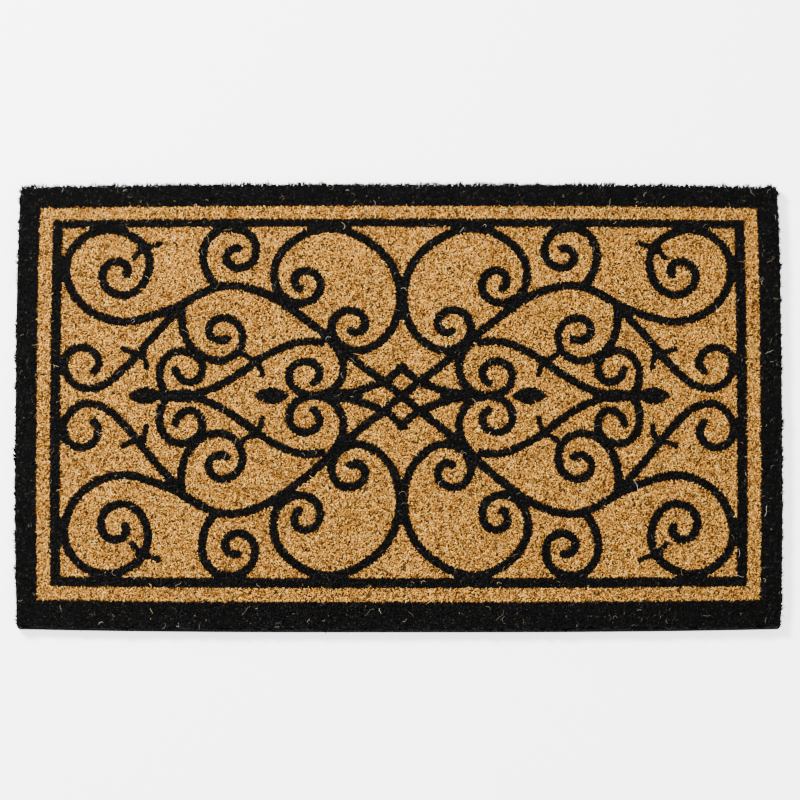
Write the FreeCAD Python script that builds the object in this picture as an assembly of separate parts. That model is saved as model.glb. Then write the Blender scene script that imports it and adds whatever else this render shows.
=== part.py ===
# Door mat: coconut-fibre (coir) pile set in a vinyl backing sheet.
#
# +Z up, +X along the mat, -Y towards the person who stands in front of the door.
# The origin is on the floor under the middle of the mat.
#
# The pile is cut level. The border and the frame line are black tufts from top to bottom.
# The scrollwork is dyed into the field from above: each element is a body of dyed tips that
# stands in a pocket of the natural pile, with natural roots below it.
import FreeCAD, Part
import math
import os

V = FreeCAD.Vector

# ---------------------------------------------------------------- driving dimensions (mm)
mat_length = 762.0            # along X, 30 in
mat_width = 457.0             # along Y, 18 in
corner_radius = 4.0           # outer corners of the sheet
backing_thickness = 3.0       # poured vinyl
pile_height = 12.0            # tuft length above the vinyl
dye_depth = 9.0               # how far down from the tips the scrollwork's dye goes
edge_margin = 1.0             # bare vinyl between the outermost tufts and the cut edge

side_border = 20.6            # black border, left and right ends
back_border = 22.7            # black border, far long side
front_border = 27.0           # black border, near long side

side_band = 13.3              # natural band, left and right ends
back_band = 13.1              # natural band, far long side
front_band = 14.2             # natural band, near long side

side_line = 10.2              # black frame line, left and right ends
back_line = 8.3               # black frame line, far long side
front_line = 10.1             # black frame line, near long side

tuft_gap = 0.3                # clearance between zones of pile

scroll_half_width = 4.1       # half the width of the bold scroll strokes
tendril_half_width = 3.9      # half the width of the lighter strokes
horn_half_width = 2.6         # half the width of the bud horns
heel_half_width = 3.0         # half the width of the filling where two lattice arms meet

pattern_centre_x = 3.2        # the pattern's crossing lies this far right of the mat's middle
pattern_centre_y = 9.7        # and this far behind it
leaf_half_length = 17.5
leaf_half_height = 8.5

# The stencil is drawn on its own grid and is fitted to the field inside the frame line.
stencil_half_length = 337.2   # from the crossing to either end
stencil_half_back = 172.3     # from the crossing to the far side
stencil_half_front = 172.9    # from the crossing to the near side

# ---------------------------------------------------------------- stencil: one quarter
# Points run along the middle of each stroke: (distance along X, distance along Y) from the
# crossing. The other three quarters are its mirror images.
corner_scroll = [
    (273.0, 124.5), (272.5, 131.0), (277.0, 136.0), (284.0, 137.3), (291.5, 134.5),
    (296.0, 128.0), (296.5, 118.5), (292.0, 109.5), (283.5, 104.5), (274.0, 103.0),
    (264.0, 107.0), (256.5, 114.5), (251.8, 125.0), (250.5, 137.0), (254.0, 149.0),
    (261.5, 158.5), (271.5, 165.0), (285.5, 169.8), (301.5, 169.0), (316.0, 162.5),
    (326.5, 152.0), (332.5, 138.0), (332.0, 121.0), (326.0, 105.5), (316.0, 92.5),
    (302.5, 83.0), (287.5, 77.5), (270.5, 76.0), (252.5, 80.0), (234.5, 86.0),
    (217.5, 93.5), (202.5, 102.5), (189.5, 108.5), (174.5, 112.3), (157.5, 111.0),
    (140.5, 106.0), (123.5, 97.5), (106.5, 86.0), (89.5, 73.3), (73.5, 60.0),
    (57.5, 46.0), (40.0, 30.8), (22.0, 17.5), (8.0, 6.3), (-3.0, -2.3)]
corner_bud = (257.5, 150.5)
corner_bud_horns = [
    [(258.0, 154.0), (247.5, 153.5), (240.0, 156.0)],
    [(256.0, 149.0), (261.0, 146.5), (266.0, 141.0)]]

large_scroll = [
    (101.5, 109.0), (105.5, 114.0), (105.8, 120.5), (101.0, 126.0), (92.5, 127.2),
    (84.8, 123.0), (80.8, 114.5), (83.0, 103.5), (91.5, 96.3), (102.5, 94.5),
    (114.0, 98.5), (122.8, 107.5), (126.6, 120.5), (125.0, 135.5), (117.0, 149.0),
    (104.0, 160.3), (88.5, 167.8), (71.5, 170.5), (52.5, 167.0), (34.5, 157.7),
    (18.5, 144.5), (7.5, 127.5), (2.3, 107.5), (3.0, 87.5), (10.0, 68.5),
    (22.5, 54.5), (38.5, 46.5), (54.0, 48.3), (65.3, 56.5), (69.6, 69.0),
    (66.0, 79.8), (56.8, 86.5), (46.3, 86.2), (38.0, 80.5), (36.5, 72.0),
    (42.0, 65.0), (50.5, 66.0)]

small_scroll = [
    (162.5, 150.3), (170.0, 148.8), (174.6, 142.0), (171.6, 134.8), (162.8, 130.5),
    (152.7, 133.0), (146.0, 141.0), (145.2, 152.0), (149.8, 162.3), (158.5, 168.7),
    (170.5, 171.0), (182.5, 168.7), (191.7, 161.0), (197.0, 149.5), (196.5, 135.5),
    (192.0, 123.0), (183.5, 111.5)]

tendril = [
    (304.5, 25.0), (300.8, 29.0), (299.8, 36.5), (303.5, 43.5), (311.0, 48.8),
    (320.5, 49.0), (329.0, 44.5), (333.5, 35.5), (332.5, 24.5), (326.5, 15.0),
    (316.5, 8.5), (304.5, 8.0), (291.0, 13.0), (278.5, 23.5), (267.0, 35.5),
    (255.0, 50.0), (242.0, 65.0), (229.0, 79.0), (219.0, 90.0)]
tendril_bud = (257.5, 42.5)
tendril_bud_horns = [
    [(262.0, 44.0), (268.5, 45.0), (275.5, 48.0)],
    [(256.5, 46.0), (253.5, 38.0), (252.5, 29.0)]]

middle_heart = [
    (172.5, 58.0), (180.0, 56.5), (187.5, 59.3), (190.6, 67.3), (187.2, 75.3),
    (177.8, 79.3), (167.3, 76.6), (160.0, 69.5), (157.3, 59.5), (159.8, 48.5),
    (167.8, 39.5), (179.5, 35.7), (191.5, 37.7), (202.3, 44.0), (210.8, 53.5),
    (216.0, 65.5), (217.7, 78.5), (216.5, 92.0)]

outer_heart = [
    (223.8, 26.5), (220.6, 20.0), (213.8, 14.6), (205.2, 14.6), (198.8, 20.6),
    (197.3, 30.0), (201.8, 38.8), (210.8, 44.5), (220.5, 45.5), (230.3, 41.5),
    (237.2, 32.5), (239.2, 19.5), (236.2, 7.5), (229.5, -1.0)]
heart_foot = [(232.0, 1.0), (222.0, 2.0), (210.0, 2.5)]

bud_arc = [
    (79.5, 54.0), (91.5, 55.5), (104.5, 54.0), (119.5, 48.3), (134.5, 40.7),
    (149.5, 30.5), (164.5, 20.0), (180.5, 10.5), (195.5, 4.3), (211.0, 0.5)]
arc_bud = (144.0, 34.5)
arc_bud_horns = [
    [(146.0, 37.0), (152.0, 39.3), (157.0, 43.0)],
    [(144.0, 36.0), (140.0, 29.0), (137.7, 21.5)]]

inner_heart = [
    (87.3, 13.3), (82.2, 18.5), (81.8, 26.5), (87.0, 32.6), (96.0, 35.0),
    (105.3, 31.8), (111.0, 23.8), (110.2, 13.8), (103.0, 5.0), (91.5, 0.5),
    (78.5, 1.5), (66.5, 8.0), (59.5, 18.5), (57.7, 30.5), (61.3, 42.5),
    (69.5, 54.0)]

lattice_arm = [
    (-3.0, 30.5), (8.0, 21.3), (17.5, 14.3), (26.0, 11.0), (38.8, 6.4), (50.0, 3.5),
    (64.0, 2.0)]
lattice_heel = [(64.0, 1.5), (52.0, 1.5), (41.5, 1.0)]

leaf_centres = [253.0, 128.7]
lattice_reach = 30.0          # the lattice is the part of the crossing lines this near to it

# ---------------------------------------------------------------- zones of the pile
pile_base = backing_thickness
pile_x = mat_length / 2.0 - edge_margin
pile_y = mat_width / 2.0 - edge_margin


class Zone:
    """A rectangle on the mat: left, front, right, back."""

    def __init__(self, left, front, right, back):
        self.left = left
        self.front = front
        self.right = right
        self.back = back

    def inside(self, side, front, back):
        """The rectangle left when a border of these widths is taken off."""
        return Zone(self.left + side, self.front + front, self.right - side, self.back - back)

    def face(self, radius=0.0):
        """A flat face, with rounded corners where a radius is given."""
        if radius <= 0.0:
            width = self.right - self.left
            depth = self.back - self.front
            return Part.makePlane(width, depth, V(self.left, self.front, 0))
        corners = [
            (self.right - radius, self.back - radius, 0.0),
            (self.left + radius, self.back - radius, 90.0),
            (self.left + radius, self.front + radius, 180.0),
            (self.right - radius, self.front + radius, 270.0)]
        arcs = []
        for x, y, start in corners:
            ring = Part.Circle(V(x, y, 0), V(0, 0, 1), radius)
            arcs.append(Part.Arc(ring, math.radians(start), math.radians(start + 90.0)))
        edges = []
        for index, arc in enumerate(arcs):
            follower = arcs[(index + 1) % 4]
            edges.append(arc.toShape())
            edges.append(Part.makeLine(arc.EndPoint, follower.StartPoint))
        return Part.Face(Part.Wire(edges))


border_zone = Zone(-pile_x, -pile_y, pile_x, pile_y)
band_zone = border_zone.inside(side_border, front_border, back_border)
line_zone = band_zone.inside(side_band, front_band, back_band)
field_zone = line_zone.inside(side_line, front_line, back_line)
gap_half = tuft_gap / 2.0

right_fit = (field_zone.right - pattern_centre_x) / stencil_half_length
left_fit = (pattern_centre_x - field_zone.left) / stencil_half_length
back_fit = (field_zone.back - pattern_centre_y) / stencil_half_back
front_fit = (pattern_centre_y - field_zone.front) / stencil_half_front


def on_mat(point, end, side):
    """Stencil point to mat position. end: 1 right, -1 left. side: 1 back, -1 front."""
    along, across = point
    fit_x = right_fit if end > 0 else left_fit
    fit_y = back_fit if side > 0 else front_fit
    x = pattern_centre_x + end * along * fit_x
    return V(x, pattern_centre_y + side * across * fit_y, 0)


def stroke_face(points, half_width, end, side):
    """A stroke of even width with round ends, as one flat face."""
    middle = Part.BSplineCurve()
    middle.interpolate([on_mat(point, end, side) for point in points])
    steps = 2 * (len(points) - 1)
    first = middle.FirstParameter
    span = middle.LastParameter - first
    one_side = []
    other_side = []
    for step in range(steps + 1):
        where = first + span * step / steps
        here = middle.value(where)
        ahead = middle.tangent(where)[0]
        across = V(-ahead.y, ahead.x, 0) * half_width
        one_side.append(here + across)
        other_side.append(here - across)
    start_tip = middle.value(first) - middle.tangent(first)[0] * half_width
    last = middle.LastParameter
    end_tip = middle.value(last) + middle.tangent(last)[0] * half_width
    run_out = Part.BSplineCurve()
    run_out.interpolate(one_side)
    run_back = Part.BSplineCurve()
    run_back.interpolate(other_side[::-1])
    far_end = Part.Arc(one_side[-1], end_tip, other_side[-1])
    near_end = Part.Arc(other_side[0], start_tip, one_side[0])
    edges = [run_out.toShape(), far_end.toShape(), run_back.toShape(), near_end.toShape()]
    return Part.Face(Part.Wire(edges))


def disc_face(centre, radius, end, side):
    """A round bud."""
    ring = Part.makeCircle(radius, on_mat(centre, end, side))
    return Part.Face(Part.Wire([ring]))


def leaf_face(centre, grow):
    """A leaf pointed at both ends, lying along the pattern's middle line."""
    left = V(centre - leaf_half_length - grow, pattern_centre_y, 0)
    right = V(centre + leaf_half_length + grow, pattern_centre_y, 0)
    top = V(centre, pattern_centre_y + leaf_half_height + grow, 0)
    foot = V(centre, pattern_centre_y - leaf_half_height - grow, 0)
    edges = [Part.Arc(left, top, right).toShape(), Part.Arc(right, foot, left).toShape()]
    return Part.Face(Part.Wire(edges))


def joined(faces):
    """Several flat faces made into one: their blocks are fused and the underside is kept."""
    if len(faces) == 1:
        return faces[0]
    blocks = [face.extrude(V(0, 0, 1)) for face in faces]
    block = blocks[0].multiFuse(blocks[1:]).removeSplitter()
    undersides = [face for face in block.Faces if face.BoundBox.ZMax < 0.5]
    return Part.makeCompound(undersides)


def element(strokes, discs, grow, end, side):
    """The faces of one element of the scrollwork, made fatter all round by grow."""
    faces = []
    for points, half_width in strokes:
        faces.append(stroke_face(points, half_width + grow, end, side))
    for centre, radius in discs:
        faces.append(disc_face(centre, radius + grow, end, side))
    return faces


bud_radius = scroll_half_width + 1.4
# In cutting order: each element stops short of those before it.
elements = {
    "corner_scrolls": (
        [(corner_scroll, scroll_half_width)]
        + [(horn, horn_half_width) for horn in corner_bud_horns],
        [(corner_bud, bud_radius)]),
    "large_scrolls": ([(large_scroll, scroll_half_width)], []),
    "small_scrolls": ([(small_scroll, scroll_half_width)], []),
    "tendrils": (
        [(tendril, tendril_half_width)]
        + [(horn, horn_half_width) for horn in tendril_bud_horns],
        [(tendril_bud, bud_radius)]),
    "middle_hearts": ([(middle_heart, tendril_half_width)], []),
    "outer_hearts": (
        [(outer_heart, tendril_half_width), (heart_foot, tendril_half_width)], []),
    "bud_arcs": (
        [(bud_arc, tendril_half_width)]
        + [(horn, horn_half_width) for horn in arc_bud_horns],
        [(arc_bud, bud_radius)]),
    "inner_hearts": ([(inner_heart, tendril_half_width)], [])}


def quarter_window(end, side):
    """The quarter of the field that holds one set of elements."""
    if end > 0:
        left, right = pattern_centre_x + gap_half, field_zone.right - gap_half
    else:
        left, right = field_zone.left + gap_half, pattern_centre_x - gap_half
    if side > 0:
        front, back = pattern_centre_y + gap_half, field_zone.back - gap_half
    else:
        front, back = field_zone.front + gap_half, pattern_centre_y - gap_half
    return Zone(left, front, right, back).face()


def lattice_window(grow):
    """The diamond round the crossing that the lattice fills."""
    reach = lattice_reach + grow
    corners = [V(reach, 0, 0), V(0, reach, 0), V(-reach, 0, 0), V(0, -reach, 0)]
    shifted = [corner + V(pattern_centre_x, pattern_centre_y, 0) for corner in corners]
    return Part.Face(Part.makePolygon(shifted + [shifted[0]]))


def largest(shape, smallest_area):
    """The faces of a cut that are big enough to hold tufts."""
    return [face for face in shape.Faces if face.Area >= smallest_area]


smallest_patch = 20.0         # mm2: less than this holds no tuft
pile_top = pile_base + pile_height
dye_base = pile_top - dye_depth


def pile(faces, foot):
    """Pile that stands over flat faces, from foot up to the cut top."""
    solids = []
    for face in faces:
        lifted = face.translated(V(0, 0, foot))
        solids.append(lifted.extrude(V(0, 0, pile_top - foot)))
    if len(solids) == 1:
        return solids[0]
    return Part.makeCompound(solids)


nodes = {}

# backing: one sheet under everything
sheet = Zone(-mat_length / 2.0, -mat_width / 2.0, mat_length / 2.0, mat_width / 2.0)
nodes["backing"] = sheet.face(corner_radius).extrude(V(0, 0, backing_thickness))


def ring_sides(outer, inner, name, radius=0.0):
    """The four straight runs of pile between two rectangles, by name."""
    outline = outer.face(radius)
    runs = {
        "back": Zone(outer.left, inner.back, outer.right, outer.back),
        "front": Zone(outer.left, outer.front, outer.right, inner.front),
        "left": Zone(outer.left, inner.front + tuft_gap, inner.left, inner.back - tuft_gap),
        "right": Zone(inner.right, inner.front + tuft_gap, outer.right, inner.back - tuft_gap)}
    for place, run in runs.items():
        patch = run.face().common(outline)
        nodes[name + "_" + place] = pile(patch.Faces, pile_base)


def shrunk(zone, amount):
    """The same rectangle, smaller by amount on every side."""
    return zone.inside(amount, amount, amount)


ring_sides(border_zone, shrunk(band_zone, -gap_half), "border_pile", corner_radius - edge_margin)
ring_sides(shrunk(band_zone, gap_half), shrunk(line_zone, -gap_half), "band_pile")
ring_sides(shrunk(line_zone, gap_half), shrunk(field_zone, -gap_half), "frame_line")

# scrollwork: every element in the four quarters, the lattice at the crossing, the leaves
lattice_lines = []
lattice_lines_grown = []
for end in (1, -1):
    for side in (1, -1):
        for points in (corner_scroll[-5:], lattice_arm):
            lattice_lines.append(stroke_face(points, tendril_half_width, end, side))
            wide = tendril_half_width + tuft_gap
            lattice_lines_grown.append(stroke_face(points, wide, end, side))
lattice = joined(lattice_lines).common(lattice_window(0.0))
lattice_grown = joined(lattice_lines_grown).common(lattice_window(tuft_gap))

leaves = []
leaves_grown = []
for end in (1, -1):
    for centre in leaf_centres:
        middle = on_mat((centre, 0.0), end, 1).x
        leaves.append(leaf_face(middle, 0.0))
        leaves_grown.append(leaf_face(middle, tuft_gap))



def arm_faces(grow, end, side):
    """A lattice arm and the heel that fills its narrow end, as flat faces."""
    return [
        stroke_face(lattice_arm, tendril_half_width + grow, end, side),
        stroke_face(lattice_heel, heel_half_width + grow, end, side)]


placed = {name: [] for name in elements}
placed["lattice_arms"] = []
taken = [lattice_grown] + leaves_grown
for end in (1, -1):
    for side in (1, -1):
        window = quarter_window(end, side)
        before = [lattice_window(tuft_gap)] + leaves_grown
        for name, (strokes, discs) in elements.items():
            whole = joined(element(strokes, discs, 0.0, end, side)).common(window)
            rest = whole.cut(before)
            placed[name].extend(largest(rest, smallest_patch))
            grown = element(strokes, discs, tuft_gap, end, side)
            before.extend(grown)
            taken.extend(grown)
        arm = joined(arm_faces(0.0, end, side)).common(window)
        placed["lattice_arms"].extend(largest(arm.cut(before), smallest_patch))
        taken.extend(arm_faces(tuft_gap, end, side))

nodes["centre_lattice"] = pile(largest(lattice, smallest_patch), dye_base)
nodes["leaves"] = pile(leaves, dye_base)
for name, faces in placed.items():
    nodes[name] = pile(faces, dye_base)

# field: one body of natural pile, full height wherever no stroke runs
field = shrunk(field_zone, gap_half).face()
roots = field.translated(V(0, 0, pile_base)).extrude(V(0, 0, dye_base - pile_base))
patches = pile(largest(field.cut(taken), smallest_patch), dye_base)
nodes["field_pile"] = roots.fuse(patches.Solids).removeSplitter()

os.makedirs("parts", exist_ok=True)
for name, shape in nodes.items():
    shape.exportStep("parts/" + name + ".step")
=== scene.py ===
"""Coir door mat: cut coconut-fibre pile on a vinyl backing, with dyed scrollwork."""
import math

import bpy
import numpy as np
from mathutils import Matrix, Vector
from mathutils.bvhtree import BVHTree


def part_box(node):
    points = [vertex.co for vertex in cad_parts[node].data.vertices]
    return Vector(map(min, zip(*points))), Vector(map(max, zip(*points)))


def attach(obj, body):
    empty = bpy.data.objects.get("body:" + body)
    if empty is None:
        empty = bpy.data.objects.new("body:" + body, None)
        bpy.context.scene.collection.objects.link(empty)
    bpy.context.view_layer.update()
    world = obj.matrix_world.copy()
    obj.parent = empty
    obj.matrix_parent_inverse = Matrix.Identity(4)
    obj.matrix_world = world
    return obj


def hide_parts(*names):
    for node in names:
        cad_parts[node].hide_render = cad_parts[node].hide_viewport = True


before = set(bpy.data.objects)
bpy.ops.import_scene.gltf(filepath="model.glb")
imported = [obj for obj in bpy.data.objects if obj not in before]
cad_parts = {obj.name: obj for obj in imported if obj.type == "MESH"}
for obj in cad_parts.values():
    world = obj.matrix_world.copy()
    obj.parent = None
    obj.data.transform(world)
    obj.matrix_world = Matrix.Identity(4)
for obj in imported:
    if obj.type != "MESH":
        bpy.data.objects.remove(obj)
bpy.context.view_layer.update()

bl_info = {
    "name": "Coir door mat",
    "version": (1, 0, 0),
    "blender": (4, 5, 0),
    "location": "3D View > Sidebar > Door mat",
    "description": "Builds a coir door mat with dyed scrollwork on its vinyl backing",
    "category": "Object",
}

MM = 0.001

# nodes of the frame, by the pile that they hold
SIDES = ("front", "back", "left", "right")
BORDER_NODES = tuple("border_pile_" + side for side in SIDES)
BAND_NODES = tuple("band_pile_" + side for side in SIDES)
LINE_NODES = tuple("frame_line_" + side for side in SIDES)
SCROLL_NODES = (
    "corner_scrolls", "large_scrolls", "small_scrolls", "tendrils", "middle_hearts",
    "outer_hearts", "bud_arcs", "inner_hearts", "lattice_arms", "centre_lattice", "leaves",
)
FIELD_NODES = ("field_pile",)
ZONES = {
    "border": BORDER_NODES,
    "band": BAND_NODES,
    "line": LINE_NODES,
    "scroll": SCROLL_NODES,
    "field": FIELD_NODES,
}
ZONE_NAMES = tuple(ZONES)
BLACK_ZONES = ("border", "line", "scroll")
NATURAL_ZONES = ("band", "field")

# random seeds of the strands' spots; every user of a zone takes the same spots
NATURAL_SEED = 7
BLACK_SEED = 11

PILE_MARGIN = 0.3 * MM        # bare strip between the outermost strands and the pile's edge
ROOT_INSET = 0.4 * MM         # how far inside the edge a strand is rooted, at least
LONGEST_LEAN = 3.5 * MM       # furthest that a tip stands from its root, seen from above
ROOT_SHARE = 0.8              # share of the lean that lies behind a strand's spot
GATHER = 0.4                  # how far a tip moves towards the middle of its clump
DYED_RISE = 0.25 * MM         # dyed strands stand this much prouder
EDGE_OVERSHOOT = 2.2 * MM     # furthest that a leaning tip passes the pile's edge
CLUMP_TURN = math.radians(31.0)   # keeps rows of clumps off the mat's edges

CORNER_RADIUS = 4.0 * MM      # backing sheet, seen from above
EDGE_ROUNDING = 0.25 * MM     # backing sheet, seen from the side
ARC_STEPS = 6
EDGE_STEPS = 24

FLOOR_HALF_WIDTH = 30.0
FLOOR_DROP = 0.0005
WORLD_STRENGTH = 1.12
LIGHTS = (                    # name, place, size, power
    ("key_light", (-1.7, 1.4, 2.6), 1.0, 500.0),
    ("fill_light", (2.2, -1.8, 3.0), 2.5, 105.0),
)
CAMERA_TARGET = (0.0013, 0.0067, 0.008)
CAMERA_TILT = math.radians(14.0)
CAMERA_DISTANCE = 11.04
CAMERA_LENS = 500.0


# ------------------------------------------------------------------ settings
def length(name, description, default, low, high):
    """A length in metres that a user may change."""
    return bpy.props.FloatProperty(
        name=name, description=description, default=default, min=low, max=high,
        unit="LENGTH", subtype="DISTANCE", precision=5)


def colour(name, description, default):
    """A linear colour that a user may change."""
    return bpy.props.FloatVectorProperty(
        name=name, description=description, default=default, min=0.0, max=1.0,
        size=3, subtype="COLOR")


class PileSettings(bpy.types.PropertyGroup):
    """Sizes of the pile's strands."""

    natural_pitch: length("Natural pitch", "Distance between natural strands", 1.12 * MM,
                          0.5 * MM, 5 * MM)
    black_pitch: length("Black pitch", "Distance between black strands", 1.15 * MM,
                        0.5 * MM, 5 * MM)
    strand_width: length("Strand width", "Width of a strand of coir", 1.0 * MM,
                         0.1 * MM, 3 * MM)
    strand_reach: length("Strand depth", "How far down a strand is modelled", 5.0 * MM,
                         1 * MM, 12 * MM)
    dye_spread: length("Dye spread", "How far the dye creeps into the natural pile", 0.30 * MM,
                       0.0, 3 * MM)
    dye_bridge: length("Dye bridge", "Widest gap between dyed parts that the dye fills", 2.2 * MM,
                       0.0, 6 * MM)
    pull_in: length("Corner pull-in", "How far the corners draw in from a true rectangle",
                    3.2 * MM, 0.0, 10 * MM)
    cut_unevenness: length("Cut unevenness", "Spread in the height of the cut tips", 0.55 * MM,
                           0.0, 3 * MM)
    clump: length("Clump size", "Distance between the clumps that the strands gather in", 1.5 * MM,
                  0.5 * MM, 10 * MM)
    clump_drop: length("Clump unevenness", "Spread in the height of whole clumps", 0.7 * MM,
                       0.0, 3 * MM)
    lean: bpy.props.FloatProperty(
        name="Lean", description="Typical lean of a strand from upright", default=math.radians(28),
        min=0.0, max=1.4, unit="ROTATION", subtype="ANGLE")


class ColourSettings(bpy.types.PropertyGroup):
    """Colours of the coir, the dye and the vinyl."""

    straw: colour("Straw", "Palest natural coir", (1.0, 0.50, 0.075))
    tan: colour("Tan", "Middle tone of natural coir", (0.60, 0.245, 0.030))
    brown: colour("Brown", "Darkest natural coir", (0.026, 0.0105, 0.0038))
    dye: colour("Dye", "Black dye on coir", (0.0038, 0.0037, 0.0036))
    dye_worn: colour("Worn dye", "Where the dye is thin", (0.026, 0.025, 0.023))
    loose: colour("Loose fibre", "Undyed fibre lying on the pile", (0.34, 0.27, 0.17))
    vinyl: colour("Vinyl", "The backing", (0.0075, 0.0072, 0.0070))
    floor: colour("Floor", "The studio floor", (0.86, 0.86, 0.86))


# ------------------------------------------------------------------ material helpers
def new_group(name, inputs, outputs):
    """An empty shader node group with named sockets."""
    group = bpy.data.node_groups.new(name, "ShaderNodeTree")
    for socket_name, kind, default in inputs:
        socket = group.interface.new_socket(socket_name, in_out="INPUT", socket_type=kind)
        socket.default_value = default
    for socket_name, kind in outputs:
        group.interface.new_socket(socket_name, in_out="OUTPUT", socket_type=kind)
    entry = group.nodes.new("NodeGroupInput")
    leave = group.nodes.new("NodeGroupOutput")
    return group, entry, leave


def maths(nodes, links, operation, first, second=None, clamp=False):
    """A Math node fed by sockets or numbers; returns its output."""
    node = nodes.new("ShaderNodeMath")
    node.operation = operation
    node.use_clamp = clamp
    for index, value in enumerate((first, second)):
        if value is None:
            continue
        if isinstance(value, (int, float)):
            node.inputs[index].default_value = value
        else:
            links.new(value, node.inputs[index])
    return node.outputs[0]


def mixed(nodes, links, factor, first, second, blend="MIX"):
    """A colour Mix node; each value is a socket or a colour."""
    node = nodes.new("ShaderNodeMix")
    node.data_type = "RGBA"
    node.blend_type = blend
    for socket, value in ((node.inputs[0], factor), (node.inputs[6], first), (node.inputs[7], second)):
        if isinstance(value, (int, float)):
            socket.default_value = value
        elif isinstance(value, (tuple, list)):
            socket.default_value = (*value[:3], 1.0)
        else:
            links.new(value, socket)
    return node.outputs[2]


def fibre_grain_group():
    """Streaks along a fibre and the fine ridges that give it its bump."""
    found = bpy.data.node_groups.get("Coir fibre grain")
    if found:
        return found
    group, entry, leave = new_group(
        "Coir fibre grain",
        [("Scale", "NodeSocketFloat", 900.0), ("Contrast", "NodeSocketFloat", 1.0)],
        [("Streak", "NodeSocketFloat"), ("Height", "NodeSocketFloat")])
    nodes, links = group.nodes, group.links
    place = nodes.new("ShaderNodeTexCoord")
    streak = nodes.new("ShaderNodeTexNoise")
    streak.inputs["Detail"].default_value = 3.0
    streak.inputs["Roughness"].default_value = 0.65
    links.new(place.outputs["Object"], streak.inputs["Vector"])
    links.new(entry.outputs["Scale"], streak.inputs["Scale"])
    centred = maths(nodes, links, "SUBTRACT", streak.outputs["Fac"], 0.5)
    spread = maths(nodes, links, "MULTIPLY", centred, entry.outputs["Contrast"])
    links.new(maths(nodes, links, "ADD", spread, 0.5, clamp=True), leave.inputs["Streak"])
    fine = nodes.new("ShaderNodeTexNoise")
    fine.inputs["Detail"].default_value = 2.0
    links.new(place.outputs["Object"], fine.inputs["Vector"])
    links.new(maths(nodes, links, "MULTIPLY", entry.outputs["Scale"], 3.5), fine.inputs["Scale"])
    links.new(fine.outputs["Fac"], leave.inputs["Height"])
    return group


def patchiness_group():
    """Broad patches over the mat, where the pile is a little lighter or darker."""
    found = bpy.data.node_groups.get("Pile patchiness")
    if found:
        return found
    group, entry, leave = new_group(
        "Pile patchiness",
        [("Scale", "NodeSocketFloat", 14.0), ("Amount", "NodeSocketFloat", 0.2)],
        [("Factor", "NodeSocketFloat")])
    nodes, links = group.nodes, group.links
    place = nodes.new("ShaderNodeTexCoord")
    noise = nodes.new("ShaderNodeTexNoise")
    noise.inputs["Detail"].default_value = 4.0
    links.new(place.outputs["Object"], noise.inputs["Vector"])
    links.new(entry.outputs["Scale"], noise.inputs["Scale"])
    centred = maths(nodes, links, "SUBTRACT", noise.outputs["Fac"], 0.5)
    spread = maths(nodes, links, "MULTIPLY", centred, entry.outputs["Amount"])
    links.new(maths(nodes, links, "ADD", spread, 1.0), leave.inputs["Factor"])
    return group


def strand_channels(nodes, links):
    """The strand attribute, and its red, green and blue parts."""
    attribute = nodes.new("ShaderNodeAttribute")
    attribute.attribute_name = "strand"
    split = nodes.new("ShaderNodeSeparateColor")
    links.new(attribute.outputs["Color"], split.inputs["Color"])
    return attribute, split


def place_group(material, group, **values):
    """A node group in a material, with its own input values."""
    node = material.node_tree.nodes.new("ShaderNodeGroup")
    node.node_tree = group
    for name, value in values.items():
        node.inputs[name].default_value = value
    return node


def bare_material(name, roughness, specular):
    """A material with its Principled shader ready to be fed."""
    material = bpy.data.materials.new(name)
    material.use_nodes = True
    shader = material.node_tree.nodes["Principled BSDF"]
    shader.inputs["Roughness"].default_value = roughness
    shader.inputs["Specular IOR Level"].default_value = specular
    return material, shader


def bump(material, height, strength, distance):
    """A Bump node on a height, wired to the shader's normal."""
    nodes, links = material.node_tree.nodes, material.node_tree.links
    node = nodes.new("ShaderNodeBump")
    node.inputs["Strength"].default_value = strength
    node.inputs["Distance"].default_value = distance
    links.new(height, node.inputs["Height"])
    links.new(node.outputs["Normal"], nodes["Principled BSDF"].inputs["Normal"])


def ramp(nodes, links, factor, stops):
    """A colour ramp with the given (place, colour) stops."""
    node = nodes.new("ShaderNodeValToRGB")
    elements = node.color_ramp.elements
    while len(elements) < len(stops):
        elements.new(0.5)
    for element, (where, value) in zip(elements, stops):
        element.position = where
        element.color = (*value, 1.0)
    links.new(factor, node.inputs["Fac"])
    return node.outputs["Color"]


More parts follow.
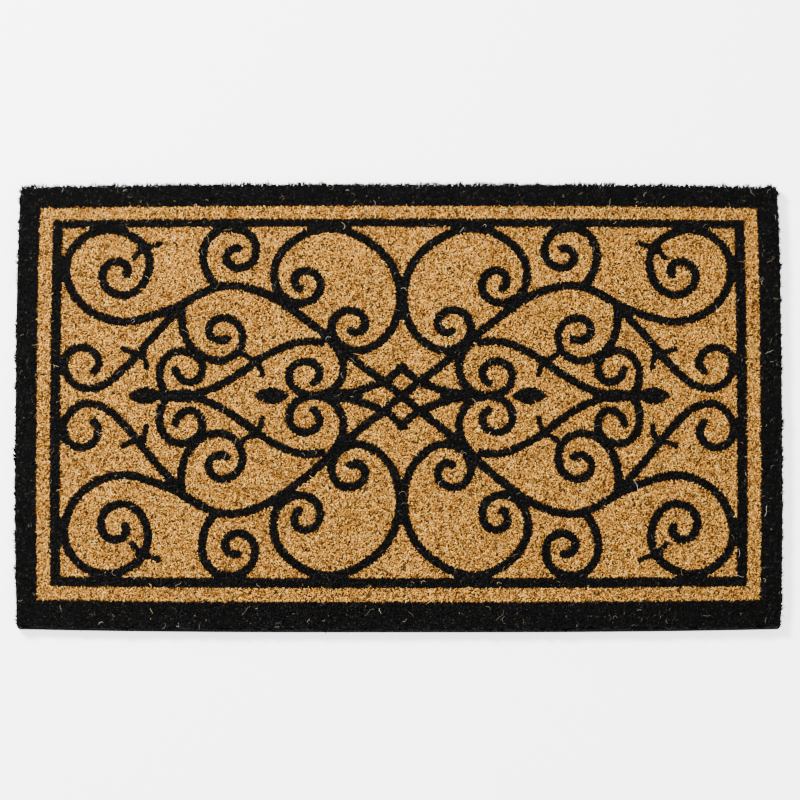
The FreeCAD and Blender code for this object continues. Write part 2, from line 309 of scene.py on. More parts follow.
def strand_material(name, stops, root_painted_shade, grain_contrast, patch_amount, roughness, specular):
    """Coir whose tone changes from strand to strand, with painted shade that darkens each strand
    towards its root.
    """
    found = bpy.data.materials.get(name)
    if found:
        return found
    material, shader = bare_material(name, roughness, specular)
    nodes, links = material.node_tree.nodes, material.node_tree.links
    strand, split = strand_channels(nodes, links)
    grain = place_group(material, fibre_grain_group(), Scale=900.0, Contrast=grain_contrast)
    tone = maths(nodes, links, "ADD", split.outputs["Red"],
                 maths(nodes, links, "SUBTRACT", grain.outputs["Streak"], 0.5), clamp=True)
    base = ramp(nodes, links, tone, stops)
    # painted shade: the colour is darkened towards each strand's root, down to the given share at its
    # foot, for the shade deep in the pile
    height = maths(nodes, links, "POWER", split.outputs["Green"], 0.8)
    shade = maths(nodes, links, "MULTIPLY_ADD", height, 1.0 - root_painted_shade)
    shade.node.inputs[2].default_value = root_painted_shade
    patches = place_group(material, patchiness_group(), Scale=12.0, Amount=patch_amount)
    shade = maths(nodes, links, "MULTIPLY", shade, patches.outputs["Factor"])
    painted_shade_grey = nodes.new("ShaderNodeCombineColor")
    for channel in ("Red", "Green", "Blue"):
        links.new(shade, painted_shade_grey.inputs[channel])
    shaded = mixed(nodes, links, 1.0, base, painted_shade_grey.outputs["Color"], "MULTIPLY")
    tint = mixed(nodes, links, strand.outputs["Alpha"], (1.04, 0.95, 0.60), (0.96, 1.05, 1.40))
    links.new(mixed(nodes, links, 1.0, shaded, tint, "MULTIPLY"), shader.inputs["Base Color"])
    rough = nodes.new("ShaderNodeMapRange")
    rough.inputs["To Min"].default_value = roughness - 0.1
    rough.inputs["To Max"].default_value = min(roughness + 0.12, 1.0)
    links.new(grain.outputs["Streak"], rough.inputs["Value"])
    links.new(rough.outputs["Result"], shader.inputs["Roughness"])
    bump(material, grain.outputs["Height"], 0.5, 0.15 * MM)
    return material


def natural_material(colours):
    """Undyed coir."""
    brown, tan, straw = tuple(colours.brown), tuple(colours.tan), tuple(colours.straw)
    # the first number after the stops is the share of colour that the painted shade leaves at a
    # strand's root
    return strand_material(
        "Natural coir", [(0.0, brown), (0.46, tan), (0.80, straw), (1.0, (1.0, 0.66, 0.18))],
        0.06, 0.5, 0.22, 0.65, 0.12)


def dyed_material(colours):
    """Coir dyed black."""
    dye, worn = tuple(colours.dye), tuple(colours.dye_worn)
    # the first number after the stops is the share of colour that the painted shade leaves at a
    # strand's root
    return strand_material(
        "Black-dyed coir", [(0.0, dye), (0.7, dye), (0.93, worn), (1.0, (0.075, 0.064, 0.052))],
        0.5, 0.7, 0.3, 0.7, 0.05)


def loose_material(colours):
    """Pale loose fibre."""
    pale = tuple(colours.loose)
    darker = tuple(0.35 * part for part in pale)
    # the first number after the stops is the share of colour that the painted shade leaves at a
    # strand's root
    return strand_material(
        "Loose coir fibre", [(0.0, darker), (0.6, pale), (1.0, (0.70, 0.60, 0.44))],
        0.8, 0.5, 0.1, 0.5, 0.4)


def root_material():
    """The depth of the pile below the strands, its undyed part coloured near-black as painted shade.
    """
    found = bpy.data.materials.get("Pile depth")
    if found:
        return found
    material, shader = bare_material("Pile depth", 0.95, 0.1)
    nodes, links = material.node_tree.nodes, material.node_tree.links
    _, split = strand_channels(nodes, links)
    grain = place_group(material, fibre_grain_group(), Scale=700.0, Contrast=1.6)
    # painted shade: undyed coir at depth is given near-black browns, far darker than the strands' own
    # tan; the dyed part keeps the dye's black
    natural = mixed(nodes, links, grain.outputs["Streak"], (0.03, 0.013, 0.005), (0.09, 0.040, 0.013))
    black = mixed(nodes, links, grain.outputs["Streak"], (0.004, 0.004, 0.004), (0.014, 0.013, 0.012))
    links.new(mixed(nodes, links, split.outputs["Blue"], natural, black), shader.inputs["Base Color"])
    bump(material, grain.outputs["Streak"], 1.0, 1.0 * MM)
    return material


def vinyl_material(colours):
    """Poured vinyl with a pebbled underside."""
    found = bpy.data.materials.get("Poured vinyl")
    if found:
        return found
    material, shader = bare_material("Poured vinyl", 0.65, 0.08)
    nodes, links = material.node_tree.nodes, material.node_tree.links
    place = nodes.new("ShaderNodeTexCoord")
    pebble = nodes.new("ShaderNodeTexVoronoi")
    pebble.feature = "SMOOTH_F1"
    pebble.inputs["Scale"].default_value = 420.0
    links.new(place.outputs["Object"], pebble.inputs["Vector"])
    swirl = nodes.new("ShaderNodeTexNoise")
    swirl.inputs["Scale"].default_value = 35.0
    swirl.inputs["Detail"].default_value = 5.0
    links.new(place.outputs["Object"], swirl.inputs["Vector"])
    base = tuple(colours.vinyl)
    lighter = tuple(min(1.0, 1.9 * part) for part in base)
    links.new(mixed(nodes, links, swirl.outputs["Fac"], base, lighter), shader.inputs["Base Color"])
    rough = nodes.new("ShaderNodeMapRange")
    rough.inputs["To Min"].default_value = 0.45
    rough.inputs["To Max"].default_value = 0.75
    links.new(swirl.outputs["Fac"], rough.inputs["Value"])
    links.new(rough.outputs["Result"], shader.inputs["Roughness"])
    bump(material, pebble.outputs["Distance"], 0.6, 0.5 * MM)
    return material


def floor_material(colours):
    """Plain pale studio floor."""
    found = bpy.data.materials.get("Studio floor")
    if found:
        return found
    material, shader = bare_material("Studio floor", 0.9, 0.1)
    shader.inputs["Base Color"].default_value = (*colours.floor, 1.0)
    shader.inputs["Emission Color"].default_value = (1.0, 1.0, 1.0, 1.0)
    shader.inputs["Emission Strength"].default_value = 2.0
    material.cycles.emission_sampling = "NONE"
    return material


# ------------------------------------------------------------------ where each zone of pile lies
def pile_box():
    """Lowest and highest corners of the whole pile."""
    lows, highs = [], []
    for names in ZONES.values():
        for name in names:
            low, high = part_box(name)
            lows.append(low)
            highs.append(high)
    return np.min(lows, axis=0), np.max(highs, axis=0)


PILE_LOW, PILE_HIGH = pile_box()
BACKING_LOW, BACKING_HIGH = (np.array(corner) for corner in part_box("backing"))
tops_found = {}
spots_found = {}


def top_faces(zones):
    """The cut tops of some zones as one searchable surface, and each face's zone number."""
    if zones in tops_found:
        return tops_found[zones]
    points, faces, face_zone = [], [], []
    for zone in zones:
        number = ZONE_NAMES.index(zone)
        for name in ZONES[zone]:
            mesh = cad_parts[name].data
            mesh.calc_loop_triangles()
            count = len(mesh.vertices)
            place = np.empty(count * 3)
            mesh.vertices.foreach_get("co", place)
            place = place.reshape(-1, 3)
            corners = np.empty(len(mesh.loop_triangles) * 3, dtype=np.int32)
            mesh.loop_triangles.foreach_get("vertices", corners)
            corners = corners.reshape(-1, 3)
            flat = (place[corners, 2] > PILE_HIGH[2] - 0.05 * MM).all(axis=1)
            corners = corners[flat] + len(points)
            points.extend(place.tolist())
            faces.extend(corners.tolist())
            face_zone.extend([number] * len(corners))
    tree = BVHTree.FromPolygons(points, faces, all_triangles=True)
    tops_found[zones] = (tree, np.array(face_zone))
    return tops_found[zones]


def nearest_zone(spots, zones):
    """The nearest of some zones to each (x, y) spot, how far off it is, and its nearest point."""
    tree, face_zone = top_faces(zones)
    top = float(PILE_HIGH[2])
    found = [tree.find_nearest((x, y, top)) for x, y in spots.tolist()]
    number = face_zone[np.array([hit[2] for hit in found])]
    point = np.array([tuple(hit[0])[:2] for hit in found])
    return number, np.array([hit[3] for hit in found]), point


def zone_of(spots):
    """The number of the zone that each (x, y) spot lies in; the dye creeps and bridges gaps."""
    settings = bpy.context.scene.mat_pile
    black, black_away, edge = nearest_zone(spots, BLACK_ZONES)
    natural, natural_away, _ = nearest_zone(spots, NATURAL_ZONES)
    dyed = black_away - settings.dye_spread <= natural_away
    # a spot is in a narrow gap if there is dye again just beyond it
    near = np.flatnonzero(~dyed & (black_away < settings.dye_bridge))
    way = spots[near] - edge[near]
    way /= np.linalg.norm(way, axis=1, keepdims=True) + 1e-12
    beyond = nearest_zone(edge[near] + way * settings.dye_bridge, BLACK_ZONES)[1]
    dyed[near[beyond < 0.05 * MM]] = True
    return np.where(dyed, black, natural)


def jittered_spots(pitch, seed):
    """Spots over the pile on a staggered grid, each moved a little at random."""
    rng = np.random.default_rng(seed)
    row_pitch = pitch * math.sqrt(3.0) / 2.0
    across = np.arange(PILE_LOW[0] + PILE_MARGIN, PILE_HIGH[0] - PILE_MARGIN, pitch)
    rows = np.arange(PILE_LOW[1] + PILE_MARGIN, PILE_HIGH[1] - PILE_MARGIN, row_pitch)
    grid_x, grid_y = np.meshgrid(across, rows)
    grid_x[1::2] += pitch / 2.0
    spots = np.column_stack([grid_x.ravel(), grid_y.ravel()])
    spots += rng.uniform(-0.45, 0.45, spots.shape) * pitch
    keep = ((spots > PILE_LOW[:2]) & (spots < PILE_HIGH[:2])).all(axis=1)
    return spots[keep]


def spots_in(zones, pitch, seed):
    """The spots that lie in the named zones."""
    settings = bpy.context.scene.mat_pile
    key = (pitch, seed, settings.dye_spread, settings.dye_bridge)
    if key not in spots_found:
        spots = jittered_spots(pitch, seed)
        spots_found[key] = (spots, zone_of(spots))
    spots, zone = spots_found[key]
    wanted = [ZONE_NAMES.index(name) for name in zones]
    return spots[np.isin(zone, wanted)]


def drawn_in(points):
    """Points of the mat with its corners drawn in, as they are on a mat cut from a roll."""
    amount = bpy.context.scene.mat_pile.pull_in
    half = (PILE_HIGH - PILE_LOW) / 2.0
    share_x = np.clip(np.abs(points[..., 0]) / half[0], 0.0, 1.0)
    share_y = np.clip(np.abs(points[..., 1]) / half[1], 0.0, 1.0)
    moved = np.array(points, dtype=float)
    moved[..., 0] *= 1.0 - amount / half[0] * share_y ** 3
    moved[..., 1] *= 1.0 - amount / half[1] * share_x ** 3
    return moved


# ------------------------------------------------------------------ strands
def strand_mesh(name, rings, widths, turn, shade, dyed, seed):
    """Three-sided tapering strands as one mesh.

    rings: strands x stations x 3, the middle line of each strand, root first, tip last.
    widths: strands x (stations - 1), the width at every station but the pointed tip.
    turn: the angle of each strand's section. shade: its tone from 0 to 1.
    dyed: 1 for black strands, 0 for others. seed: for each strand's hue.
    """
    count, stations, _ = rings.shape
    along = np.gradient(rings, axis=1)
    along /= np.linalg.norm(along, axis=2, keepdims=True) + 1e-12
    up = np.array([0.0, 0.0, 1.0])
    side = np.cross(along, up)
    size = np.linalg.norm(side, axis=2, keepdims=True)
    side = np.where(size > 1e-6, side / np.maximum(size, 1e-6), np.array([1.0, 0.0, 0.0]))
    other = np.cross(side, along)
    body = stations - 1
    angles = turn[:, None] + np.arange(3)[None, :] * 2.0 * math.pi / 3.0
    cos_part = np.cos(angles)[:, None, :, None]
    sin_part = np.sin(angles)[:, None, :, None]
    ring = (rings[:, :body, None, :]
            + 0.5 * widths[:, :, None, None] * (cos_part * side[:, :body, None, :]
                                                + sin_part * other[:, :body, None, :]))
    points = np.concatenate([ring.reshape(count, body * 3, 3), rings[:, -1:, :]], axis=1)
    per = body * 3 + 1
    quads = []
    for station in range(body - 1):
        for corner in range(3):
            nxt = (corner + 1) % 3
            low, high = station * 3, station * 3 + 3
            quads.append((low + corner, low + nxt, high + nxt, high + corner))
    last = (body - 1) * 3
    tips = [(last + corner, last + (corner + 1) % 3, per - 1) for corner in range(3)]
    pattern = np.array([i for face in quads + tips for i in face], dtype=np.int32)
    sizes = np.array([4] * len(quads) + [3] * len(tips), dtype=np.int32)
    offset = (np.arange(count, dtype=np.int32) * per)[:, None]
    loops = (pattern[None, :] + offset).ravel()
    starts = np.concatenate([[0], np.cumsum(np.tile(sizes, count))[:-1]]).astype(np.int32)

    mesh = bpy.data.meshes.new(name)
    mesh.vertices.add(count * per)
    mesh.vertices.foreach_set("co", drawn_in(points).astype(np.float32).ravel())
    mesh.loops.add(len(loops))
    mesh.loops.foreach_set("vertex_index", loops)
    mesh.polygons.add(count * len(sizes))
    mesh.polygons.foreach_set("loop_start", starts)
    mesh.polygons.foreach_set("use_smooth", np.ones(count * len(sizes), dtype=bool))
    mesh.update(calc_edges=True)

    height = np.repeat(np.linspace(0.0, 1.0, stations)[:-1], 3)
    height = np.concatenate([height, [1.0]])
    strand = np.ones((count, per, 4), dtype=np.float32)
    strand[:, :, 0] = shade[:, None]
    strand[:, :, 1] = height[None, :]
    strand[:, :, 2] = dyed
    strand[:, :, 3] = np.random.default_rng(seed).random(count)[:, None]
    layer = mesh.attributes.new("strand", "FLOAT_COLOR", "POINT")
    layer.data.foreach_set("color", strand.ravel())

    # each strand has its own small cell in the map: its section runs across, its length up
    cells = math.ceil(math.sqrt(count))
    cell = 1.0 / cells
    column = (np.arange(count) % cells)[:, None]
    row = (np.arange(count) // cells)[:, None]
    across = np.concatenate([np.tile([0.0, 0.5, 1.0], body), [0.5]])
    u = (column + 0.2 + 0.6 * across[None, :]) * cell
    v = (row + 0.2 + 0.6 * height[None, :]) * cell
    flat = np.stack([u, v], axis=2).reshape(-1, 2)
    mesh.uv_layers.new(name="OFBake").data.foreach_set("uv", flat[loops].astype(np.float32).ravel())
    return mesh


def clumps_at(points, size):
    """The clump that each (x, y) point belongs to: its centre, and its tone and height luck."""
    rng = np.random.default_rng(21)
    cos_turn, sin_turn = math.cos(CLUMP_TURN), math.sin(CLUMP_TURN)
    axes = np.array([[cos_turn, sin_turn], [-sin_turn, cos_turn]])
    reach = int(np.linalg.norm(PILE_HIGH[:2]) / size) + 6
    shift = rng.uniform(0.0, 1.0, (2 * reach, 2 * reach, 2))
    luck = rng.normal(0.0, 1.0, (2 * reach, 2 * reach, 2))
    where = points @ axes.T / size + reach
    cell = np.floor(where).astype(int)
    nearest = np.full(len(points), np.inf)
    centre = np.zeros((len(points), 2))
    found = np.zeros((len(points), 2))
    for step_x in (-1, 0, 1):
        for step_y in (-1, 0, 1):
            column = cell[:, 0] + step_x
            row = cell[:, 1] + step_y
            middle = np.column_stack([column, row]) + shift[row, column]
            away = ((where - middle) ** 2).sum(axis=1)
            closer = away < nearest
            nearest[closer] = away[closer]
            centre[closer] = middle[closer]
            found[closer] = luck[row, column][closer]
    return (centre - reach) * size @ axes, found


def leaning_strands(name, spots, settings, seed, shades, dyed):
    """Strands that lean every way, cut to one height and gathered in small clumps."""
    rng = np.random.default_rng(seed)
    count = len(spots)
    lean = np.clip(rng.normal(settings.lean, 0.26, count), 0.05, 1.15)
    heading = rng.uniform(0.0, 2.0 * math.pi, count)
    reach = settings.strand_reach * rng.uniform(0.8, 1.15, count)
    travel = (reach * np.tan(lean))[:, None] * np.column_stack([np.cos(heading), np.sin(heading)])
    size = np.linalg.norm(travel, axis=1, keepdims=True)
    travel *= np.minimum(1.0, LONGEST_LEAN / np.maximum(size, 1e-9))
    root = spots - ROOT_SHARE * travel
    tip = spots + (1.0 - ROOT_SHARE) * travel
    centre, luck = clumps_at(tip, settings.clump)
    tip += GATHER * (centre - tip)
    # shears leave few tips above the cut, while many strands stop short of it
    top = PILE_HIGH[2] + 0.15 * MM - np.abs(rng.normal(0.0, settings.cut_unevenness, count))
    top += np.clip(luck[:, 1], -2.2, 0.0) * settings.clump_drop + dyed * DYED_RISE
    overshoot = EDGE_OVERSHOOT * rng.uniform(0.0, 1.0, (count, 1))
    tip = np.clip(tip, PILE_LOW[:2] - overshoot, PILE_HIGH[:2] + overshoot)
    root = np.clip(root, PILE_LOW[:2] + ROOT_INSET, PILE_HIGH[:2] - ROOT_INSET)
    bow = rng.normal(0.0, 0.35 * MM, (count, 2))
    middle = root + 0.55 * (tip - root) + bow
    rings = np.zeros((count, 3, 3))
    rings[:, 0, :2], rings[:, 1, :2], rings[:, 2, :2] = root, middle, tip
    rings[:, 0, 2] = top - reach
    rings[:, 1, 2] = top - reach * rng.uniform(0.30, 0.42, count)
    rings[:, 2, 2] = top
    width = settings.strand_width * rng.lognormal(0.0, 0.25, count)
    widths = np.column_stack([width * 0.9, width])
    turn = rng.uniform(0.0, 2.0 * math.pi, count)
    return strand_mesh(name, rings, widths, turn, shades(rng, luck[:, 0]), dyed, seed + 5000)


def natural_shades(rng, clump_luck):
    """Tan that changes from clump to clump, with some dark and some pale strands."""
    count = len(clump_luck)
    tone = 0.50 + 0.29 * clump_luck + rng.normal(0.0, 0.14, count)
    dark = rng.random(count) < 0.13
    pale = rng.random(count) < 0.06
    tone[dark] = rng.uniform(0.0, 0.15, dark.sum())
    tone[pale] = rng.uniform(0.8, 1.0, pale.sum())
    return np.clip(tone, 0.0, 1.0)


def dyed_shades(rng, clump_luck):
    """Mostly full black, with a few strands that took less dye."""
    count = len(clump_luck)
    tone = np.clip(rng.beta(1.3, 2.6, count) + 0.15 * clump_luck, 0.0, 0.85)
    thin = rng.random(count) < 0.03
    tone[thin] = rng.uniform(0.85, 1.0, thin.sum())
    return tone


def add_piece(name, mesh, material, nodes=()):
    """A piece of the mat that rides on its one body."""
    piece = bpy.data.objects.new(name, mesh)
    bpy.context.scene.collection.objects.link(piece)
    mesh.materials.append(material)
    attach(piece, "root")
    if nodes:
        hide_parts(*nodes)
    return piece


def strips(spots, count):
    """The spots in that many strips from front to back, equal in number."""
    order = np.argsort(spots[:, 1], kind="stable")
    return [spots[part] for part in np.array_split(order, count)]


def build_pile(name, zones, nodes, dyed, strip_count, seed):
    """The tufts of some zones, in strips."""
    scene = bpy.context.scene
    settings, colours = scene.mat_pile, scene.mat_colours
    if dyed:
        spots = spots_in(zones, settings.black_pitch, BLACK_SEED)
        material, slot, shades = dyed_material(colours), "coir_black", dyed_shades
    else:
        spots = spots_in(zones, settings.natural_pitch, NATURAL_SEED)
        material, slot, shades = natural_material(colours), "coir_natural", natural_shades
    if not len(spots):
        raise RuntimeError("no room for tufts in " + name)
    for number, part in enumerate(strips(spots, strip_count), start=1):
        label = name if strip_count == 1 else f"{name}_{number}"
        mesh = leaning_strands(label, part, settings, seed + number, shades, 1.0 if dyed else 0.0)
        add_piece(label, mesh, material, nodes)


# ------------------------------------------------------------------ operators
def rounded_outline(low, high, radius):
    """Round a rectangle: for each point, its centre of rounding and its outward way."""
    right, left = high[0] - radius, low[0] + radius
    back, front = high[1] - radius, low[1] + radius
    centres = np.array([(right, back), (left, back), (left, front), (right, front)])
    outline = []
    for corner, centre in enumerate(centres):
        following = centres[(corner + 1) % 4]
        for step in range(ARC_STEPS + 1):
            angle = math.radians(90.0 * (corner + step / ARC_STEPS))
            outline.append((*centre, math.cos(angle), math.sin(angle)))
        for step in range(1, EDGE_STEPS):
            between = centre + (following - centre) * step / EDGE_STEPS
            outline.append((*between, math.cos(angle), math.sin(angle)))
    return outline


class MAT_OT_backing(bpy.types.Operator):
    """The vinyl sheet that holds the tufts"""

    bl_idname = "mat.backing"
    bl_label = "Backing sheet"

    def execute(self, context):
        low, high = BACKING_LOW, BACKING_HIGH
        outline = rounded_outline(low, high, CORNER_RADIUS)
        levels = ((low[2], CORNER_RADIUS - EDGE_ROUNDING), (low[2] + 0.3 * MM, CORNER_RADIUS),
                  (high[2] - 0.5 * MM, CORNER_RADIUS), (high[2], CORNER_RADIUS - 2 * EDGE_ROUNDING))
        verts = drawn_in(np.array(
            [(x + r * c, y + r * s, z) for z, r in levels for x, y, c, s in outline])).tolist()
        per = len(outline)
        faces = [tuple(range(per))[::-1], tuple(range(3 * per, 4 * per))]
        for level in range(3):
            for index in range(per):
                nxt = (index + 1) % per
                faces.append((level * per + index, level * per + nxt,
                              (level + 1) * per + nxt, (level + 1) * per + index))
        mesh = bpy.data.meshes.new("backing_sheet")
        mesh.from_pydata(verts, [], faces)
        mesh.update()
        colours = context.scene.mat_colours
        sheet = add_piece("backing_sheet", mesh, vinyl_material(colours), ("backing",))
        return {"FINISHED"}


class MAT_OT_pile_depth(bpy.types.Operator):
    """The depth of the pile, seen between the tips, with painted shade in its dark colours"""

    bl_idname = "mat.pile_depth"
    bl_label = "Pile depth"

    def execute(self, context):
        rng = np.random.default_rng(3)
        inset, step = 1.6 * MM, 2.0 * MM
        low, high = PILE_LOW + inset, PILE_HIGH - inset
        count_x = int(round((high[0] - low[0]) / step)) + 1
        count_y = int(round((high[1] - low[1]) / step)) + 1
        grid_x, grid_y = np.meshgrid(np.linspace(low[0], high[0], count_x),
                                     np.linspace(low[1], high[1], count_y))
        spots = np.column_stack([grid_x.ravel(), grid_y.ravel()])
        depth = PILE_HIGH[2] - 4.3 * MM + rng.normal(0.0, 0.35 * MM, len(spots))
        top = np.column_stack([spots, depth])
        index = np.arange(count_x * count_y).reshape(count_y, count_x)
        rim = np.concatenate([index[0, :-1], index[:-1, -1], index[-1, :0:-1], index[:0:-1, 0]])
        foot = top[rim].copy()
        foot[:, 2] = BACKING_HIGH[2] - 0.2 * MM
        points = np.vstack([top, foot])
        faces = np.column_stack([index[:-1, :-1].ravel(), index[:-1, 1:].ravel(),
                                 index[1:, 1:].ravel(), index[1:, :-1].ravel()]).tolist()
        base = len(top)
        for place, corner in enumerate(rim.tolist()):
            nxt = (place + 1) % len(rim)
            faces.append((corner, base + place, base + nxt, int(rim[nxt])))
        mesh = bpy.data.meshes.new("pile_depth")
        mesh.from_pydata(drawn_in(points).tolist(), [], faces)
        mesh.update()
        # its blue part says where the pile is dyed; the sides are dyed all over
        values = np.ones((len(points), 4), dtype=np.float32)
        values[:base, 2] = np.isin(zone_of(spots), [ZONE_NAMES.index(name) for name in BLACK_ZONES])
        layer = mesh.attributes.new("strand", "FLOAT_COLOR", "POINT")
        layer.data.foreach_set("color", values.ravel())
        add_piece("pile_depth", mesh, root_material())
        return {"FINISHED"}


class MAT_OT_border_tufts(bpy.types.Operator):
    """The black pile round the edge"""

    bl_idname = "mat.border_tufts"
    bl_label = "Border tufts"

    def execute(self, context):
        build_pile("border_tufts", ("border",), BORDER_NODES, dyed=True, strip_count=3, seed=100)
        return {"FINISHED"}


class MAT_OT_band_tufts(bpy.types.Operator):
    """The natural band inside the border"""

    bl_idname = "mat.band_tufts"
    bl_label = "Band tufts"

    def execute(self, context):
        build_pile("band_tufts", ("band",), BAND_NODES, dyed=False, strip_count=2, seed=200)
        return {"FINISHED"}


class MAT_OT_line_tufts(bpy.types.Operator):
    """The black frame line"""

    bl_idname = "mat.line_tufts"
    bl_label = "Frame line tufts"

    def execute(self, context):
        build_pile("frame_line_tufts", ("line",), LINE_NODES, dyed=True, strip_count=1, seed=300)
        return {"FINISHED"}


class MAT_OT_scroll_tufts(bpy.types.Operator):
    """The black scrollwork"""

    bl_idname = "mat.scroll_tufts"
    bl_label = "Scrollwork tufts"

    def execute(self, context):
        build_pile("scroll_tufts", ("scroll",), SCROLL_NODES, dyed=True, strip_count=4, seed=400)
        return {"FINISHED"}


class MAT_OT_field_tufts(bpy.types.Operator):
    """The natural field"""

    bl_idname = "mat.field_tufts"
    bl_label = "Field tufts"

    def execute(self, context):
        build_pile("field_tufts", ("field",), FIELD_NODES, dyed=False, strip_count=9, seed=500)
        return {"FINISHED"}


def edge_runs(rng, spread):
    """Roots along the four sides of the pile, the way out of each, and how far its tip reaches."""
    roots, ways, reaches = [], [], []
    for axis in (0, 1):
        for sign in (-1, 1):
            other = 1 - axis
            count = int((PILE_HIGH[other] - PILE_LOW[other]) / spread)
            root = np.zeros((count, 2))
            edge = PILE_HIGH[axis] if sign > 0 else PILE_LOW[axis]
            inset = rng.uniform(0.1 * MM, 1.8 * MM, count)
            root[:, axis] = edge - sign * inset
            root[:, other] = rng.uniform(PILE_LOW[other] + 1 * MM, PILE_HIGH[other] - 1 * MM, count)
            way = np.zeros((count, 2))
            way[:, axis] = sign
            knots = np.arange(PILE_LOW[other], PILE_HIGH[other] + 4 * MM, 3.5 * MM)
            uneven = rng.normal(1.3 * MM, 1.2 * MM, len(knots))
            roots.append(root)
            ways.append(way)
            reaches.append(inset + np.interp(root[:, other], knots, uneven))
    return np.vstack(roots), np.vstack(ways), np.concatenate(reaches)


class MAT_OT_edge_tufts(bpy.types.Operator):
    """Full-length tufts down the four sides of the pile"""

    bl_idname = "mat.edge_tufts"
    bl_label = "Edge tufts"

    def execute(self, context):
        rng = np.random.default_rng(21)
        spread = 0.35 * MM
        root, out, ragged = edge_runs(rng, spread)
        count = len(root)
        splay = np.maximum(ragged + rng.normal(0.0, 0.6 * MM, count), -0.3 * MM)
        wild = rng.random(count) < 0.02
        splay[wild] += rng.uniform(1.0 * MM, 4.0 * MM, wild.sum())
        splay = splay[:, None]
        wander = rng.normal(0.0, 1.5 * MM, (count, 2))
        wander -= out * (wander * out).sum(axis=1, keepdims=True)
        tip = root + out * splay + wander
        top = PILE_HIGH[2] - rng.uniform(0.0, 1.2 * MM, count)
        rings = np.zeros((count, 4, 3))
        foot = BACKING_HIGH[2] - 0.3 * MM
        for station, share in enumerate((0.0, 0.35, 0.7, 1.0)):
            bow = rng.normal(0.0, 0.3 * MM, (count, 2)) if 0 < station < 3 else 0.0
            rings[:, station, :2] = root + (tip - root) * share ** 1.4 + bow
            rings[:, station, 2] = foot + (top - foot) * share
        width = 0.75 * MM * rng.lognormal(0.0, 0.25, count)
        widths = np.column_stack([width, width, width * 0.95])
        turn = rng.uniform(0.0, 2.0 * math.pi, count)
        shade = np.minimum(dyed_shades(rng, rng.normal(0.0, 1.0, count)), 0.86)
        mesh = strand_mesh("edge_tufts", rings, widths, turn, shade, 1.0, 22)
        add_piece("edge_tufts", mesh, dyed_material(context.scene.mat_colours),
                  BORDER_NODES)
        return {"FINISHED"}


def curled_strands(name, spots, lengths, width, seed, shade_range, height):
    """Long loose fibres that lie curled on the pile."""
    rng = np.random.default_rng(seed)
    count, stations = len(spots), 9
    heading = rng.uniform(0.0, 2.0 * math.pi, count)
    curl = rng.normal(0.0, 1.1, count)
    share = np.linspace(0.0, 1.0, stations)
    angle = heading[:, None] + curl[:, None] * (share[None, :] - 0.5) * 2.0
    angle += 0.25 * np.sin(share[None, :] * 7.0 + heading[:, None])
    step = (lengths / (stations - 1))[:, None]
    offset_x = np.cumsum(np.cos(angle) * step, axis=1)
    offset_y = np.cumsum(np.sin(angle) * step, axis=1)
    rings = np.zeros((count, stations, 3))
    rings[:, :, 0] = spots[:, :1] + offset_x - offset_x.mean(axis=1, keepdims=True)
    rings[:, :, 1] = spots[:, 1:] + offset_y - offset_y.mean(axis=1, keepdims=True)
    lift = rng.uniform(0.0, 1.0, count)[:, None] * height
    rings[:, :, 2] = PILE_HIGH[2] + 0.1 * MM + lift * np.sin(share[None, :] * math.pi) ** 0.8
    rings[:, 0, 2] -= 0.8 * MM
    rings[:, -1, 2] -= 0.5 * MM
    profile = np.interp(np.arange(stations - 1), [0, 2, stations - 2], [0.8, 1.0, 0.7])
    widths = width * rng.uniform(0.7, 1.25, count)[:, None] * profile[None, :]
    turn = rng.uniform(0.0, 2.0 * math.pi, count)
    shade = rng.uniform(*shade_range, count)
    return strand_mesh(name, rings, widths, turn, shade, 0.0, seed + 5000)


class MAT_OT_loose_fibres(bpy.types.Operator):
    """Loose fibres on the pile: pale ones on the black, long ones on the field"""

    bl_idname = "mat.loose_fibres"
    bl_label = "Loose fibres"

    def execute(self, context):
        rng = np.random.default_rng(31)
        colours = context.scene.mat_colours
        settings = context.scene.mat_pile
        black = spots_in(BLACK_ZONES, settings.black_pitch, BLACK_SEED)
        natural = spots_in(NATURAL_ZONES, settings.natural_pitch, NATURAL_SEED)
        on_black = black[rng.choice(len(black), 380, replace=False)]
        lengths = rng.lognormal(math.log(4.6 * MM), 0.45, len(on_black))
        mesh = curled_strands("loose_fibres_on_black", on_black, np.clip(lengths, 2 * MM, 14 * MM),
                              0.22 * MM, 32, (0.0, 0.9), 0.8 * MM)
        add_piece("loose_fibres_on_black", mesh, loose_material(colours))
        on_field = natural[rng.choice(len(natural), 2600, replace=False)]
        lengths = rng.lognormal(math.log(4.5 * MM), 0.35, len(on_field))
        mesh = curled_strands("loose_fibres_on_field", on_field, np.clip(lengths, 2 * MM, 11 * MM),
                              0.55 * MM, 33, (0.35, 1.0), 0.5 * MM)
        add_piece("loose_fibres_on_field", mesh, natural_material(colours))
        return {"FINISHED"}


def aim(thing, target):
    """Point an object's -Z axis at a target."""
    way = Vector(target) - thing.location
    thing.rotation_euler = way.to_track_quat("-Z", "Y").to_euler()


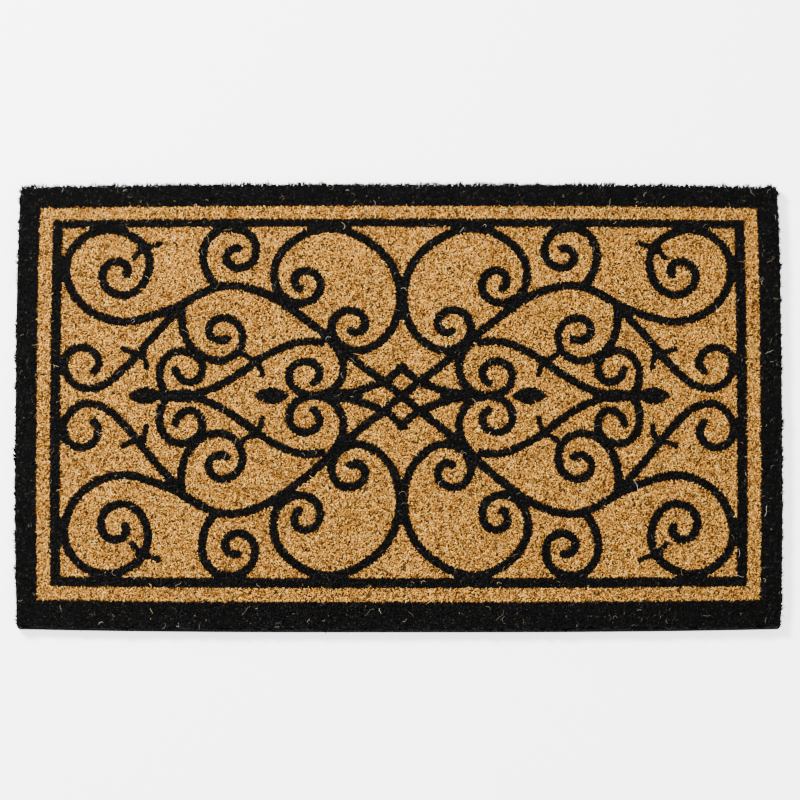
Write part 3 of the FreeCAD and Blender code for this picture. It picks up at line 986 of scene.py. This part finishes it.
class MAT_OT_stage(bpy.types.Operator):
    """Floor, lights and camera"""

    bl_idname = "mat.stage"
    bl_label = "Stage"

    def execute(self, context):
        scene = context.scene
        half = FLOOR_HALF_WIDTH
        mesh = bpy.data.meshes.new("floor")
        mesh.from_pydata([(-half, -half, 0), (half, -half, 0), (half, half, 0), (-half, half, 0)],
                         [], [(0, 1, 2, 3)])
        mesh.materials.append(floor_material(scene.mat_colours))
        floor = bpy.data.objects.new("floor", mesh)
        scene.collection.objects.link(floor)
        floor.location.z = -FLOOR_DROP

        world = bpy.data.worlds.new("Studio")
        world.use_nodes = True
        background = world.node_tree.nodes["Background"]
        background.inputs["Color"].default_value = (1.0, 1.0, 1.0, 1.0)
        background.inputs["Strength"].default_value = WORLD_STRENGTH
        scene.world = world
        for name, place, size, power in LIGHTS:
            lamp = bpy.data.lights.new(name, "AREA")
            lamp.shape = "DISK"
            lamp.size = size
            lamp.energy = power
            light = bpy.data.objects.new(name, lamp)
            scene.collection.objects.link(light)
            light.location = place
            aim(light, (0.0, 0.0, 0.0))

        view = bpy.data.cameras.new("camera")
        view.lens = CAMERA_LENS
        view.sensor_width = 36.0
        view.clip_start = 0.1
        view.clip_end = 100.0
        camera = bpy.data.objects.new("camera", view)
        scene.collection.objects.link(camera)
        target = Vector(CAMERA_TARGET)
        camera.location = target + CAMERA_DISTANCE * Vector(
            (0.0, -math.sin(CAMERA_TILT), math.cos(CAMERA_TILT)))
        aim(camera, target)
        scene.camera = camera
        return {"FINISHED"}


class MAT_PT_panel(bpy.types.Panel):
    """Builds the mat's pieces one by one"""

    bl_idname = "MAT_PT_panel"
    bl_label = "Door mat"
    bl_space_type = "VIEW_3D"
    bl_region_type = "UI"
    bl_category = "Door mat"

    def draw(self, context):
        layout = self.layout
        for settings in (context.scene.mat_pile, context.scene.mat_colours):
            box = layout.box()
            for key in settings.bl_rna.properties.keys():
                if key not in ("rna_type", "name"):
                    box.prop(settings, key)
        for operator in BUILD_ORDER:
            layout.operator(operator.bl_idname)


BUILD_ORDER = (
    MAT_OT_backing, MAT_OT_pile_depth, MAT_OT_border_tufts, MAT_OT_band_tufts, MAT_OT_line_tufts,
    MAT_OT_scroll_tufts, MAT_OT_field_tufts, MAT_OT_edge_tufts, MAT_OT_loose_fibres, MAT_OT_stage,
)
CLASSES = (PileSettings, ColourSettings, *BUILD_ORDER, MAT_PT_panel)


def register():
    """Register the settings, the operators and the panel."""
    for item in CLASSES:
        bpy.utils.register_class(item)
    bpy.types.Scene.mat_pile = bpy.props.PointerProperty(type=PileSettings)
    bpy.types.Scene.mat_colours = bpy.props.PointerProperty(type=ColourSettings)


def unregister():
    """Take them away again."""
    del bpy.types.Scene.mat_colours
    del bpy.types.Scene.mat_pile
    for item in reversed(CLASSES):
        bpy.utils.unregister_class(item)


def main():
    """Build the whole mat and its stage."""
    register()
    for operator in BUILD_ORDER:
        group, name = operator.bl_idname.split(".")
        getattr(getattr(bpy.ops, group), name)()


if __name__ == "__main__":
    main()
